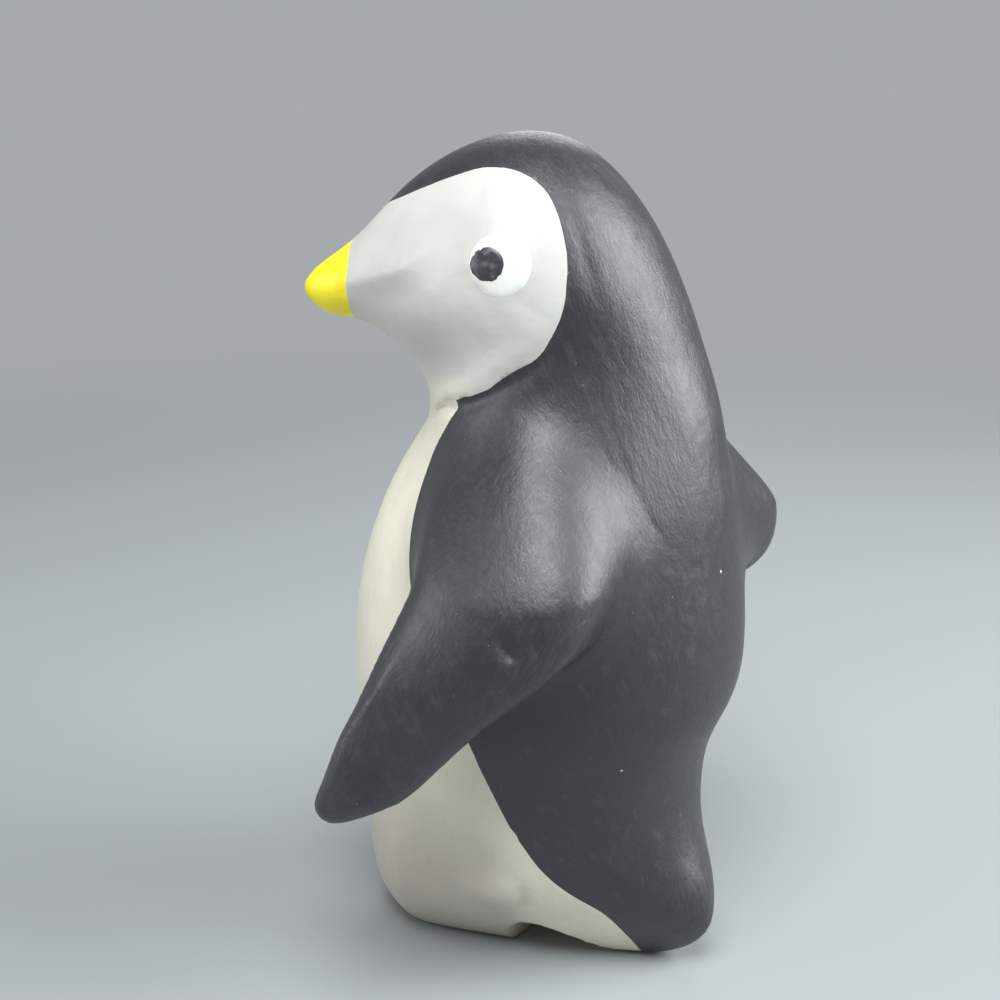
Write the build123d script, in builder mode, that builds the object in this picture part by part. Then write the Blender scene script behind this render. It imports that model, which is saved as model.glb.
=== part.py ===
from build123d import *
import math
import os

os.makedirs("parts", exist_ok=True)

# The painted wooden penguin stands on z = 0 and faces -Y, so its own left is +X.
# Driving dimensions, in mm, and the head's turn to the left, in degrees
figure_height = 125.0
neck_height = 86.5
body_width = 55.6
body_depth = 62.0
head_width = 39.0
head_reach = 41.3
head_turn = 24.0
neck_setback = 5.0
beak_length = 8.3

# Paint: coats over the bare wood, thinner ones for the eyes, and the bare strip at the floor
coat_thickness = 0.35
eye_coat_thickness = 0.15
hem_height = 0.5
eye_diameter = 8.4
pupil_diameter = 4.9
eye_forward = 8.3
pupil_forward = 10.0
eye_drop = 16.6

# Arch under the belly between the legs and the tail
arch_height = 7.0
arch_length = 16.4
arch_setback = 1.2

# Flippers, each carved apart and glued to its flank
shoulder_drop = 14.5
shoulder_setback = 9.0
flipper_reach = 15.3
flipper_drop = 40.0
flipper_chord = 30.0
flipper_thickness = 10.0

# Dowels that hold the flippers, in blind holes
dowel_diameter = 4.0
dowel_length = 16.0
dowel_drop = 20.0
dowel_clearance = 0.1
dowel_end_gap = 0.5

# What is cut away runs past the figure by this much
cut_overrun = 20.0

# Where a dowel starts in the body, as a share of half its width
dowel_root_share = 0.62

half_width = body_width / 2
half_depth = body_depth / 2
head_height = figure_height - neck_height
shoulder_height = neck_height - shoulder_drop
dowel_height = neck_height - dowel_drop

# A quarter circle drawn as a cubic curve has handles of this share of its radius.
round_share = 0.5523

# Rings of the trunk, from just below the floor, where it is cut flat, up to the neck. Each has
# its height as a share of neck_height; its front, widest place and back as shares of
# half_depth; its half width as a share of half_width; and how full its back is, 1 for a plain
# ellipse and less for a pointed tail.
trunk_shares = [
    (-0.045, -0.450, -0.490, 0.380, 0.300, 0.36),
    (0.000, -0.700, -0.480, 0.680, 0.490, 0.34),
    (0.035, -0.855, -0.450, 0.860, 0.600, 0.38),
    (0.075, -0.935, -0.390, 0.950, 0.675, 0.50),
    (0.120, -0.972, -0.310, 0.965, 0.730, 0.66),
    (0.170, -0.988, -0.230, 0.930, 0.775, 0.80),
    (0.230, -1.000, -0.160, 0.858, 0.820, 0.90),
    (0.312, -1.010, -0.105, 0.812, 0.875, 1.00),
    (0.405, -1.015, -0.065, 0.850, 0.935, 1.00),
    (0.497, -1.010, -0.020, 0.960, 0.980, 1.00),
    (0.590, -0.990, 0.005, 1.000, 1.000, 1.00),
    (0.682, -0.950, 0.030, 0.995, 0.980, 1.00),
    (0.775, -0.870, 0.065, 0.970, 0.930, 1.00),
    (0.855, -0.775, 0.095, 0.950, 0.840, 1.00),
    (0.925, -0.660, 0.130, 0.910, 0.735, 1.00),
]

# Rings of the head, fanned out about the throat. Each has its throat end and its crown end,
# forward of the neck's middle as a share of head_reach and above the neck as a share of
# head_height; its half width as a share of half of head_width; and its share of the turn.
head_shares = [
    (0.515, 0.010, -0.510, 0.050, 0.925, 0.30),
    (0.520, 0.060, -0.455, 0.195, 0.920, 0.55),
    (0.540, 0.110, -0.395, 0.360, 0.950, 0.78),
    (0.570, 0.145, -0.310, 0.570, 0.990, 0.92),
    (0.603, 0.180, -0.172, 0.800, 1.000, 1.00),
    (0.640, 0.210, 0.027, 0.972, 0.935, 1.00),
    (0.678, 0.237, 0.232, 1.000, 0.800, 1.00),
    (0.720, 0.262, 0.438, 0.930, 0.640, 1.00),
    (0.768, 0.285, 0.617, 0.800, 0.480, 1.00),
    (0.823, 0.300, 0.763, 0.644, 0.360, 1.00),
    (0.886, 0.306, 0.867, 0.553, 0.255, 1.00),
    (0.947, 0.335, 0.942, 0.496, 0.170, 1.00),
    (0.985, 0.374, 0.985, 0.447, 0.088, 1.00),
]
beak_tip_share = 0.41

# Rings of the left flipper, from its buried root to near its tip. Each has the middle of
# its ring: out from the flank as a share of flipper_reach, back of shoulder_setback as a
# share of flipper_chord and down from the shoulder as a share of flipper_drop; its chord
# and thickness as shares; how far its leading edge is raised and pushed out, as shares of
# its chord; and the way its spine runs there, as out, back and down shares.
flipper_shares = [
    (-1.29, -0.08, 0.02, 0.71, 2.40, 0.14, 0.00, (1.00, 0.00, 0.15)),
    (-0.74, -0.02, -0.02, 0.94, 2.60, 0.16, 0.03, (0.97, 0.00, 0.30)),
    (-0.28, 0.05, 0.05, 1.02, 2.12, 0.25, 0.07, (0.83, 0.00, 0.55)),
    (0.10, 0.08, 0.17, 0.99, 1.52, 0.26, 0.09, (0.62, 0.00, 0.80)),
    (0.41, 0.01, 0.34, 0.90, 1.16, 0.22, 0.13, (0.42, -0.10, 0.90)),
    (0.62, -0.14, 0.53, 0.72, 1.00, 0.14, 0.18, (0.28, -0.20, 0.95)),
    (0.76, -0.30, 0.71, 0.53, 0.90, 0.13, 0.26, (0.18, -0.22, 0.95)),
    (0.87, -0.44, 0.86, 0.38, 0.78, 0.12, 0.28, (0.10, -0.25, 0.96)),
    (0.94, -0.555, 0.945, 0.22, 0.54, 0.19, 0.30, (0.05, -0.25, 0.96)),
]
flipper_tip_share = (0.96, -0.59, 1.00)

# Edge of the grey face on the head's side, from the peak on the forehead round behind the
# eye to the throat: forward as a share of head_reach, up as a share of head_height
face_shares = [
    (0.690, 0.727),
    (0.580, 0.777),
    (0.485, 0.818),
    (0.303, 0.880),
    (0.162, 0.873),
    (0.077, 0.813),
    (0.022, 0.717),
    (-0.010, 0.550),
    (0.002, 0.413),
    (0.046, 0.290),
    (0.143, 0.177),
    (0.252, 0.083),
    (0.340, 0.030),
]

# Edge between the pale belly and the dark back, from the throat to the tail: back as a
# share of half_depth, up as a share of neck_height. The top differs, as the head is turned.
left_throat_shares = [(-0.077, 1.020), (-0.180, 0.985), (-0.232, 0.936), (-0.240, 0.855)]
right_throat_shares = [(-0.440, 1.020), (-0.410, 0.985), (-0.355, 0.936), (-0.285, 0.855)]
flank_shares = [
    (-0.182, 0.740),
    (-0.050, 0.600),
    (0.139, 0.454),
    (0.210, 0.369),
    (0.306, 0.272),
    (0.423, 0.195),
    (0.585, 0.130),
    (0.640, 0.060),
    (0.625, -0.010),
]

# Outline of the arch, from the legs back to the tail, as shares of its length and height
arch_shares = [(0.00, -0.20), (0.08, 0.70), (0.27, 1.00), (0.62, 0.52), (1.00, -0.12)]


def ring(plane, near, far, side, fullness):
    """One closed outline of four quarter curves, with its front at the plane's -Y."""
    bulge = round_share * side
    front = round_share * near
    back_bulge = bulge * fullness
    back = round_share * fullness * far
    with BuildSketch(plane) as outline:
        with BuildLine():
            Bezier((side, 0), (side, back), (back_bulge, far), (0, far))
            Bezier((0, far), (-back_bulge, far), (-side, back), (-side, 0))
            Bezier((-side, 0), (-side, -front), (-bulge, -near), (0, -near))
            Bezier((0, -near), (bulge, -near), (side, -front), (side, 0))
        make_face()
    return outline.sketch


def head_point(forward, height, turn_share):
    """A point of the head's middle plane, once the head has made a share of its turn."""
    angle = math.radians(head_turn * turn_share)
    return Vector(forward * math.sin(angle), neck_setback - forward * math.cos(angle), height)


def figure_rings(grow):
    """All outlines from below the floor to the beak's tip, grown by a layer's thickness."""
    rings = []
    for height, front, widest, back, side, fullness in trunk_shares:
        middle = (0, widest * half_depth, height * neck_height)
        near = (widest - front) * half_depth + grow
        far = (back - widest) * half_depth + grow
        plane = Plane(origin=middle, x_dir=(1, 0, 0), z_dir=(0, 0, 1))
        rings.append(ring(plane, near, far, side * half_width + grow, fullness))
    for throat, throat_up, crown, crown_up, side, turn in head_shares:
        low = head_point(throat * head_reach, neck_height + throat_up * head_height, turn)
        high = head_point(crown * head_reach, neck_height + crown_up * head_height, turn)
        angle = math.radians(head_turn * turn)
        across = Vector(math.cos(angle), math.sin(angle), 0)
        upward = (high - low).normalized()
        plane = Plane(origin=(low + high) / 2, x_dir=across, z_dir=across.cross(upward))
        radius = (high - low).length / 2 + grow
        rings.append(ring(plane, radius, radius, side * head_width / 2 + grow, 1))
    tip = head_point(head_reach + grow, neck_height + beak_tip_share * head_height, 1)
    rings.append(Vertex(tip.X, tip.Y, tip.Z))
    return rings


def flipper_rings(grow):
    """Outlines of the left flipper from inside the flank to its tip."""
    rings = []
    for out, back, down, chord, thick, lift, push, spine in flipper_shares:
        x = half_width + out * flipper_reach
        y = shoulder_setback + back * flipper_chord
        z = shoulder_height - down * flipper_drop
        along = Vector(push, -1, lift).normalized()
        spine_way = Vector(spine[0], spine[1], -spine[2])
        spine_way = (spine_way - along * spine_way.dot(along)).normalized()
        plane = Plane(origin=(x, y, z), x_dir=along, z_dir=spine_way)
        half_chord = chord * flipper_chord / 2 + grow
        half_thickness = thick * flipper_thickness / 2 + grow
        rings.append(ring(plane, half_thickness, half_thickness, half_chord, 1))
    out, back, down = flipper_tip_share
    x = half_width + out * flipper_reach
    y = shoulder_setback + back * flipper_chord
    z = shoulder_height - down * flipper_drop - grow
    rings.append(Vertex(x, y, z))
    return rings


def share_points(shares, width, height, start=0):
    """Points of an outline from its table of shares, counted from where it starts."""
    return [(start + across * width, up * height) for across, up in shares]


def side_bar(plane, middle, radius, reach):
    """A round bar square to a plane, from the plane to its reach."""
    with BuildPart() as bar:
        with BuildSketch(plane):
            with Locations(middle):
                Circle(radius)
        extrude(amount=reach)
    return bar.part


# Plane of the turned head, x forward and y up from the neck, and its side to the right
head_forward = head_point(head_reach, 0, 1) - head_point(0, 0, 1)
head_plane = Plane(
    origin=(0, neck_setback, neck_height),
    x_dir=head_forward,
    z_dir=head_forward.cross(Vector(0, 0, 1)),
)
side_reach = half_width + cut_overrun

# Arch that is cut out below the belly
with BuildPart() as arch_cutter:
    with BuildSketch(Plane.YZ):
        with BuildLine():
            edge = share_points(arch_shares, arch_length, arch_height, arch_setback)
            Spline(*edge)
            Line(edge[-1], edge[0])
        make_face()
    extrude(amount=side_reach, both=True)


def bib_cutter(throat_shares, side):
    """Everything in front of the edge between belly and back, on one side."""
    edge = share_points(throat_shares + flank_shares, half_depth, neck_height)
    front = -half_depth - cut_overrun
    with BuildPart() as cutter:
        with BuildSketch(Plane.YZ):
            with BuildLine():
                Spline(*edge)
                Polyline(edge[-1], (front, edge[-1][1]), (front, edge[0][1]), edge[0])
            make_face()
        extrude(amount=side * side_reach)
    return cutter.part


# Everything on the head in front of the edge of the face, and all from the beak forward
with BuildPart() as face_cutter:
    with BuildSketch(head_plane):
        with BuildLine():
            edge = share_points(face_shares, head_reach, head_height)
            front = head_reach + cut_overrun
            Spline(*edge)
            Polyline(edge[-1], (front, edge[-1][1]), (front, edge[0][1]), edge[0])
        make_face()
    extrude(amount=side_reach, both=True)

with BuildPart() as beak_cutter:
    with BuildSketch(head_plane):
        with Locations((head_reach - beak_length, 0)):
            Rectangle(cut_overrun, head_height, align=(Align.MIN, Align.MIN))
    extrude(amount=side_reach, both=True)

# Strip at the floor that stays bare wood
with BuildPart() as hem_cutter:
    with BuildSketch(Plane.XY.offset(hem_height)):
        Rectangle(2 * side_reach, 2 * (half_depth + cut_overrun))
    extrude(amount=-cut_overrun)

# Whole figure as it looks from outside, without flippers or arch, and its bare block of wood
with BuildPart() as figure:
    loft(figure_rings(0))

with BuildPart() as block:
    loft(figure_rings(-coat_thickness))

# Left flipper with and without its coat, still with the root that the body cuts off
with BuildPart() as painted_flipper:
    loft(flipper_rings(0))

with BuildPart() as bare_flipper:
    loft(flipper_rings(-coat_thickness))

with BuildPart() as painted_flippers:
    add(painted_flipper.part)
    mirror(about=Plane.YZ)

# Dowels across the joints, and their holes
dowel_middle = (shoulder_setback, dowel_height)
hole_radius = dowel_diameter / 2 + dowel_clearance
pieces = {}
with BuildPart() as dowel_holes:
    for side in (1, -1):
        start = side * (dowel_root_share * half_width - dowel_end_gap)
        hole_length = dowel_length + 2 * dowel_end_gap
        add(side_bar(Plane.YZ.offset(start), dowel_middle, hole_radius, side * hole_length))

with BuildPart() as body_block:
    add(block.part)
    split(bisect_by=Plane.XY)
    add(arch_cutter.part, mode=Mode.SUBTRACT)
    add(dowel_holes.part, mode=Mode.SUBTRACT)
pieces["body_block"] = body_block.part

for side, name in ((1, "left"), (-1, "right")):
    start = side * dowel_root_share * half_width
    with BuildPart() as dowel:
        root = Plane.YZ.offset(start)
        add(side_bar(root, dowel_middle, dowel_diameter / 2, side * dowel_length))
    pieces["dowel_" + name] = dowel.part

    with BuildPart() as flipper:
        if side == 1:
            add(bare_flipper.part)
        else:
            mirror(bare_flipper.part, about=Plane.YZ)
        add(block.part, mode=Mode.SUBTRACT)
        add(dowel_holes.part, mode=Mode.SUBTRACT)
    pieces["flipper_" + name] = flipper.part

    with BuildPart() as flipper_coat:
        if side == 1:
            add(painted_flipper.part)
            add(bare_flipper.part, mode=Mode.SUBTRACT)
        else:
            mirror(painted_flipper.part, about=Plane.YZ)
            mirror(bare_flipper.part, about=Plane.YZ, mode=Mode.SUBTRACT)
        add(block.part, mode=Mode.SUBTRACT)
    pieces["flipper_coat_" + name] = flipper_coat.part

# All paint on the body, which the edges of its colours then part
with BuildPart() as body_coat:
    add(figure.part)
    add(hem_cutter.part, mode=Mode.SUBTRACT)
    add(arch_cutter.part, mode=Mode.SUBTRACT)
    add(block.part, mode=Mode.SUBTRACT)
    add(painted_flippers.part, mode=Mode.SUBTRACT)

with BuildPart() as bib_cutters:
    add(bib_cutter(left_throat_shares, 1))
    add(bib_cutter(right_throat_shares, -1))

with BuildPart() as beak_coat:
    add(body_coat.part)
    add(beak_cutter.part, mode=Mode.INTERSECT)
pieces["beak_coat"] = beak_coat.part

with BuildPart() as face_coat:
    add(body_coat.part)
    add(face_cutter.part, mode=Mode.INTERSECT)
    add(beak_cutter.part, mode=Mode.SUBTRACT)
pieces["face_coat"] = face_coat.part

with BuildPart() as belly_coat:
    add(body_coat.part)
    add(bib_cutters.part, mode=Mode.INTERSECT)
    add(face_cutter.part, mode=Mode.SUBTRACT)
pieces["belly_coat"] = belly_coat.part

with BuildPart() as back_coat:
    add(body_coat.part)
    add(face_cutter.part, mode=Mode.SUBTRACT)
    add(bib_cutters.part, mode=Mode.SUBTRACT)
pieces["back_coat"] = back_coat.part

# Discs painted over the face: the white of each eye and the pupil upon it
eye_layers = [
    ("eye_white_", eye_diameter, eye_forward),
    ("pupil_", pupil_diameter, pupil_forward),
]
for layer, (prefix, diameter, forward) in enumerate(eye_layers):
    with BuildPart() as under:
        loft(figure_rings(layer * eye_coat_thickness))
    with BuildPart() as over:
        loft(figure_rings((layer + 1) * eye_coat_thickness))
    for side, name in ((1, "left"), (-1, "right")):
        middle = (forward, head_height - eye_drop)
        with BuildPart() as disc:
            add(side_bar(head_plane, middle, diameter / 2, -side * side_reach))
            add(over.part, mode=Mode.INTERSECT)
            add(under.part, mode=Mode.SUBTRACT)
        pieces[prefix + name] = disc.part

for name, piece in pieces.items():
    piece.label = name
    export_step(piece, "parts/" + name + ".step")
    print(name, len(piece.solids()), round(piece.volume, 1))
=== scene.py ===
import math

import bpy
import numpy as np
from bpy.props import FloatProperty, PointerProperty, StringProperty
from mathutils import Matrix, Vector, noise
from mathutils.bvhtree import BVHTree


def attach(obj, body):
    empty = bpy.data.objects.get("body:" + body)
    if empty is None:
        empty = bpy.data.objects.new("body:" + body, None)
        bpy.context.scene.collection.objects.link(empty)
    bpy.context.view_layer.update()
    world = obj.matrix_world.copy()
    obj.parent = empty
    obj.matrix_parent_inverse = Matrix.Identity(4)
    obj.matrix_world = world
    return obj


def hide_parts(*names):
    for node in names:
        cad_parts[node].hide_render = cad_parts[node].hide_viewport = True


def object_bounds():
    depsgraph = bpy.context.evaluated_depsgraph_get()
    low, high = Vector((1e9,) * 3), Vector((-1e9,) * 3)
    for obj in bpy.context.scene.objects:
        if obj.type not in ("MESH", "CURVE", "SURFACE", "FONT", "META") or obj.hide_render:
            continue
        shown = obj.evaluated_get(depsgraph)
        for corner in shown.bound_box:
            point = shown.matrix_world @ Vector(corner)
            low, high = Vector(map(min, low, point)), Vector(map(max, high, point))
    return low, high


bl_info = {
    "name": "Painted Wooden Penguin",
    "version": (1, 0, 0),
    "blender": (4, 5, 0),
    "location": "View3D > Sidebar > Penguin",
    "description": "Builds the painted surfaces of a carved wooden penguin around its solid model",
    "category": "Object",
}

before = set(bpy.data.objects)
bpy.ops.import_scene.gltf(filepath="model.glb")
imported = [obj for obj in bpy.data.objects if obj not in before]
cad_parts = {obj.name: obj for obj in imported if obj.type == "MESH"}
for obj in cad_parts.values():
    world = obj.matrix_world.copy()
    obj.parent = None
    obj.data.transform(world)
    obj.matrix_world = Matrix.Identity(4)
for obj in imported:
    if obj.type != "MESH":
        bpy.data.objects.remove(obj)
cad_low, cad_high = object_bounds()
MM = 0.001
SIDES = {"left": 1, "right": -1}
CHARCOAL_NODES = ("back_coat", "flipper_coat_left", "flipper_coat_right")
WOOD_NODES = ("body_block", "flipper_left", "flipper_right")
DOWEL_NODES = ("dowel_left", "dowel_right")

# Marks of the knife on the near side: the picture columns and rows that each passes; its half
# width and its height in mm, below 0 for a hollow; whether its top is a crisp edge; and what
# mirrors it to the far side: the turned head, the body, or nothing
KNIFE_MARKS = {
    "edge_from_beak_to_cheek": (((348, 284), (372, 279), (398, 271), (436, 248)), 2.0, 0.60, True, "head"),
    "hollow_under_that_edge": (((365, 300), (392, 296), (420, 285)), 2.2, -0.25, False, "head"),
    "bulge_of_cheek": (((480, 345), (512, 335), (532, 310)), 5.0, 0.45, False, "head"),
    "edge_on_flipper": (
        ((323, 806), (338, 772), (347, 742), (378, 695), (402, 650)), 2.2, 0.95, True, "body",
    ),
    "thumb_hollow_on_flipper": (((352, 802), (364, 790), (378, 774)), 3.0, -1.30, False, "body"),
    "valley_behind_shoulder": (((540, 412), (584, 452), (622, 505), (650, 560)), 5.0, -0.6, False, "body"),
    "swell_of_shoulder": (((520, 490), (575, 555)), 11.0, 1.0, False, "body"),
    "dent_on_flipper": (((505, 646), (511, 655)), 1.1, -0.50, False, None),
    "rim_of_that_dent": (((497, 660), (508, 668), (519, 662)), 0.8, 0.18, False, None),
    "lobe_of_leg": (((490, 892), (503, 890)), 3.4, 1.10, False, "body"),
    "crease_behind_leg": (((519, 884), (524, 900), (528, 914)), 1.8, -0.7, False, "body"),
    "edge_of_belly": (((399, 800), (397, 845), (404, 888)), 1.8, 0.45, True, "body"),
    "groove_behind_eye": (((562, 196), (572, 214), (584, 250), (596, 300)), 1.1, -0.14, False, "head"),
    "cut_on_crown": (((590, 164), (601, 172), (613, 188)), 0.9, -0.28, False, None),
    "cut_beside_it": (((604, 163), (622, 181)), 0.9, -0.20, False, None),
    "brow_furrow": (((402, 193), (432, 180), (470, 167)), 0.8, -0.25, False, "head"),
    "swell_of_tail": (((688, 842), (696, 880)), 5.0, 0.5, False, None),
    "tool_line_on_back": (((612, 430), (628, 474), (648, 516), (668, 548)), 0.7, -0.12, False, None),
    "second_tool_line": (((594, 420), (611, 462), (636, 505)), 0.6, -0.10, False, None),
    "nick_on_back": (((690, 571), (697, 567)), 0.9, -0.08, False, None),
    "nick_on_hood": (((640, 236), (644, 232)), 0.8, -0.12, False, None),
}

# Where the wood was planed flat: the picture column and row of the middle, its reach in mm, how
# many times the surface there is drawn even, and what mirrors it
PLANED = {
    "plane_of_shoulder": ((522, 495), 12.0, 370, "body"),
}

# The cheek hangs over the hood's edge: the heights in mm between which it comes and goes, and
# its bands along the paint's edge, each with its rise, its place across the edge and its spread
CHEEK_HEIGHTS = (82, 88, 94, 104)
CHEEK_BANDS = ((0.28, -1.8, 4.0), (-0.42, 1.2, 1.6))

# Where the brush strayed from a solid coat's edge: the coat; the picture column and row of the
# middle; its reach, and how far the edge moves into that coat, in mm; and what mirrors it
BRUSH_SHIFTS = {
    "throat_bared_by_charcoal": ("charcoal", (448, 416), 4.6, 2.2, "body"),
    "cheek_rounded_below": ("face", (540, 360), 3.6, -0.9, "head"),
    "cheek_rounded_behind": ("face", (562, 325), 3.0, -0.3, "head"),
    "notch_in_charcoal": ("charcoal", (511, 836), 0.8, 0.7, None),
    "beak_bowed": ("beak", (343, 268), 2.2, -0.5, "head"),
}

# Each lamp: how far it stands to the camera's right, towards the camera and above the point that
# it is aimed at, and its width, in metres; and its power in watts
LAMPS = {
    "overhead": (-0.03, 0.27, 0.46, 0.34, 3.4),
    "left_window": (-0.58, 0.10, 0.16, 0.40, 1.3),
    "right_window": (0.53, 0.07, 0.28, 0.54, 6.3),
    "window_behind": (0.05, -0.55, 0.27, 0.24, 0.6),
}
LAMP_TINT = (0.95, 0.98, 1.0)

# The floor: its corners, and how far from the figure it starts and ends to fade, in metres
FLOOR_CORNERS = 96
FADE_STARTS = 0.16
FADE_ENDS = 0.60

# Each coat's place: the edges that bound it, and on which side of each it lies
COAT_EDGES = {
    "charcoal_coat": (("bare", 1), ("beak", -1), ("face", -1), ("charcoal", 1)),
    "cream_coat": (("bare", 1), ("beak", -1), ("face", -1), ("charcoal", -1)),
    "grey_coat": (("bare", 1), ("beak", -1), ("face", 1)),
    "yellow_coat": (("bare", 1), ("beak", 1)),
}

# Smoothing: in a round each point moves by a share of its way to the mean of its neighbours. The
# voxel grid takes both its shares in turn, and the second undoes the first one's shrinking
GRID_ROUNDS = 6
GRID_SHARES = (0.5, -0.52)
FULL_SHARE = 0.9
SOFT_SHARE = 0.6
LEAST_SHARE = 0.001

# The joint of flipper and back: rounds that fill it, and that even it out after; how many rounds
# its normals are kept for; the share of a ridge that is worn down with it; the shares of its
# reach from which both fade and where the second ends; and the height over which both set in
FILL_ROUNDS = 740
EVEN_ROUNDS = 100
NORMALS_KEPT = 20
RIDGE_WORN = 0.12
FADE_SHARE = 0.3
EVEN_SHARE = 0.7
BLEND_RISE = 16 * MM

# What else the carving and the paint are measured by
PICTURE = 1000  # columns and rows that pixels are counted in
NECK_SETBACK = 5 * MM  # how far behind the figure's axis the head turns
END_SHARE = 0.25  # of a knife mark's height is left at its ends
MARK_ENDS = (-0.1, 0.3)  # shares of its length, from either end, in which it grows to its height
PLANE_ENDS = (0.6, 1.4)  # shares of a plane's reach in which it fades
ARCH_PAINT = 5 * MM  # how far the paint runs into the arch
WOBBLE_SIZE = 5 * MM  # length of the waves in a hand painted edge
FLOW_REACH = 4 * MM  # half the band where the brush's way turns from back to flipper
ON_LINE = 0.02 * MM  # a point this near an edge lies on it
LAYER_SUNK = 0.1 * MM  # how deep a layer on another coat is set into it
LAYER_PROUD = 0.01 * MM  # how proud that layer stands at its outline
DROP_EDGE = (-0.05 * MM, 0.45 * MM)  # inwards of its outline, where a drop of paint rises
WOOD_DEPTH = 0.35 * MM  # depth of the wood under paint
WOOD_BARE_DEPTH = 0.02 * MM  # its depth where it is bare
WOOD_REACH = 3 * MM  # wood nearer than this to the surface follows it
ON_FLOOR = 0.05 * MM  # wood lower than this stands on the floor


class PenguinShape(bpy.types.PropertyGroup):
    """Sizes of the carved and painted surface."""

    grid: FloatProperty(
        name="Surface grid", description="Spacing of the points of the carved surface",
        default=0.66 * MM, unit="LENGTH",
    )
    coat: FloatProperty(
        name="Coat thickness", description="Thickness of primer and paint on the wood",
        default=0.3 * MM, unit="LENGTH",
    )
    eye_coat: FloatProperty(
        name="Eye coat rise",
        description="How far each layer of paint on an eye stands proud of what it lies on",
        default=0.11 * MM, unit="LENGTH",
    )
    head_turn: FloatProperty(
        name="Head turn", description="How far the head is turned to the figure's left",
        default=math.radians(24), subtype="ANGLE",
    )
    blend_reach: FloatProperty(
        name="Shoulder blend",
        description="How far from the joint filler and paint run from a flipper into the back",
        default=20.0 * MM, unit="LENGTH",
    )
    blend_low: FloatProperty(
        name="Blend's lower end", description="Height at which a flipper starts to melt into the back",
        default=36.0 * MM, unit="LENGTH",
    )
    wobble: FloatProperty(
        name="Edge wobble", description="How far a hand painted edge strays from its line",
        default=0.09 * MM, unit="LENGTH",
    )


class PenguinPaint(bpy.types.PropertyGroup):
    """Colours of the paints and of the wood, as sRGB hex values."""

    charcoal: StringProperty(name="Charcoal", description="Back, hood, flippers", default="#1C1D21")
    face_grey: StringProperty(name="Face", description="Pale grey of the face", default="#CACBC4")
    cream: StringProperty(name="Bib", description="Cream of throat and breast", default="#E6E1CE")
    # Painted shade: the grey that the cream turns to low on the front of the legs
    legs_painted_shade: StringProperty(name="Belly", description="Greyed cream on the legs", default="#ADA79E")
    yellow: StringProperty(name="Beak", description="Yellow of the beak", default="#FFF021")
    eye_white: StringProperty(name="Eye white", description="Ring of each eye", default="#E6E7E1")
    pupil: StringProperty(name="Pupil", description="Middle of each eye", default="#37383B")
    wood: StringProperty(name="Wood", description="Bare wood below", default="#C9A87C")


class PenguinStage(bpy.types.PropertyGroup):
    """The camera, as fitted to the figure's outline, and the floor and lamps around it."""

    focal: FloatProperty(
        name="Focal length", description="In thousandths of the picture's width", default=1500.0,
    )
    distance: FloatProperty(
        name="Distance", description="Of the camera from the figure's axis, level",
        default=220.3 * MM, unit="LENGTH",
    )
    height: FloatProperty(
        name="Height", description="Of the camera above the floor", default=132.0 * MM, unit="LENGTH",
    )
    bearing: FloatProperty(
        name="Bearing", description="Of the camera, from the figure's left towards its back",
        default=math.radians(32), subtype="ANGLE",
    )
    pitch: FloatProperty(
        name="Pitch", description="How far the camera looks down",
        default=math.atan(0.28), subtype="ANGLE",
    )
    axis_column: FloatProperty(
        name="Axis column", description="Picture column that shows the figure's axis, of 1000",
        default=552.0,
    )
    aim_height: FloatProperty(
        name="Lamps' aim", description="Height of the point that the lamps are aimed at",
        default=70.0 * MM, unit="LENGTH",
    )
    world_strength: FloatProperty(
        name="World strength", description="Of the light from all round", default=0.15,
    )
    floor_radius: FloatProperty(
        name="Floor radius", description="Of the pale floor", default=3.0, unit="LENGTH",
    )
    board: StringProperty(name="Floor", description="Colour of the floor", default="#9A9EA0")
    backdrop: StringProperty(name="Backdrop", description="Colour behind it all", default="#A6AAAC")
    daylight: StringProperty(name="Daylight", description="Tint from all round", default="#F2F4F7")


# Colour and node helpers


def linear(code):
    """An sRGB hex colour as linear red, green, blue and alpha."""
    values = [int(code[i : i + 2], 16) / 255 for i in (1, 3, 5)]
    return (*[v / 12.92 if v <= 0.04045 else ((v + 0.055) / 1.055) ** 2.4 for v in values], 1.0)


def shade(code, factor):
    """A linear colour made lighter or darker by a factor."""
    return (*[min(1, value * factor) for value in linear(code)[:3]], 1.0)


def add_node(tree, kind, links=None, **settings):
    """One node with its settings; links gives an input's name or number a value or a socket."""
    node = tree.nodes.new(kind)
    for name, value in settings.items():
        setattr(node, name, value)
    for key, value in (links or {}).items():
        if isinstance(value, bpy.types.NodeSocket):
            tree.links.new(value, node.inputs[key])
        else:
            node.inputs[key].default_value = value
    return node


def new_material(name):
    """An empty material with its output's surface shader, and its object coordinates."""
    material = bpy.data.materials.new(name)
    material.use_nodes = True
    tree = material.node_tree
    tree.nodes.clear()
    output = add_node(tree, "ShaderNodeOutputMaterial")
    shader = add_node(tree, "ShaderNodeBsdfPrincipled")
    tree.links.new(shader.outputs["BSDF"], output.inputs["Surface"])
    where = add_node(tree, "ShaderNodeTexCoord").outputs["Object"]
    return material, tree, shader, where


def grain(tree, where, size_mm, stretch=(1, 1, 1), turn=(0, 0, 0), detail=3.0, rough=0.55):
    """Noise whose cells measure size_mm, drawn out along the turned axes by stretch."""
    place = add_node(
        tree, "ShaderNodeMapping",
        {"Vector": where, "Rotation": turn, "Scale": [size_mm * MM * s for s in stretch]},
        vector_type="TEXTURE",
    )
    return add_node(
        tree, "ShaderNodeTexNoise",
        {"Vector": place.outputs[0], "Scale": 1.0, "Detail": detail, "Roughness": rough},
    ).outputs["Fac"]


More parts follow.
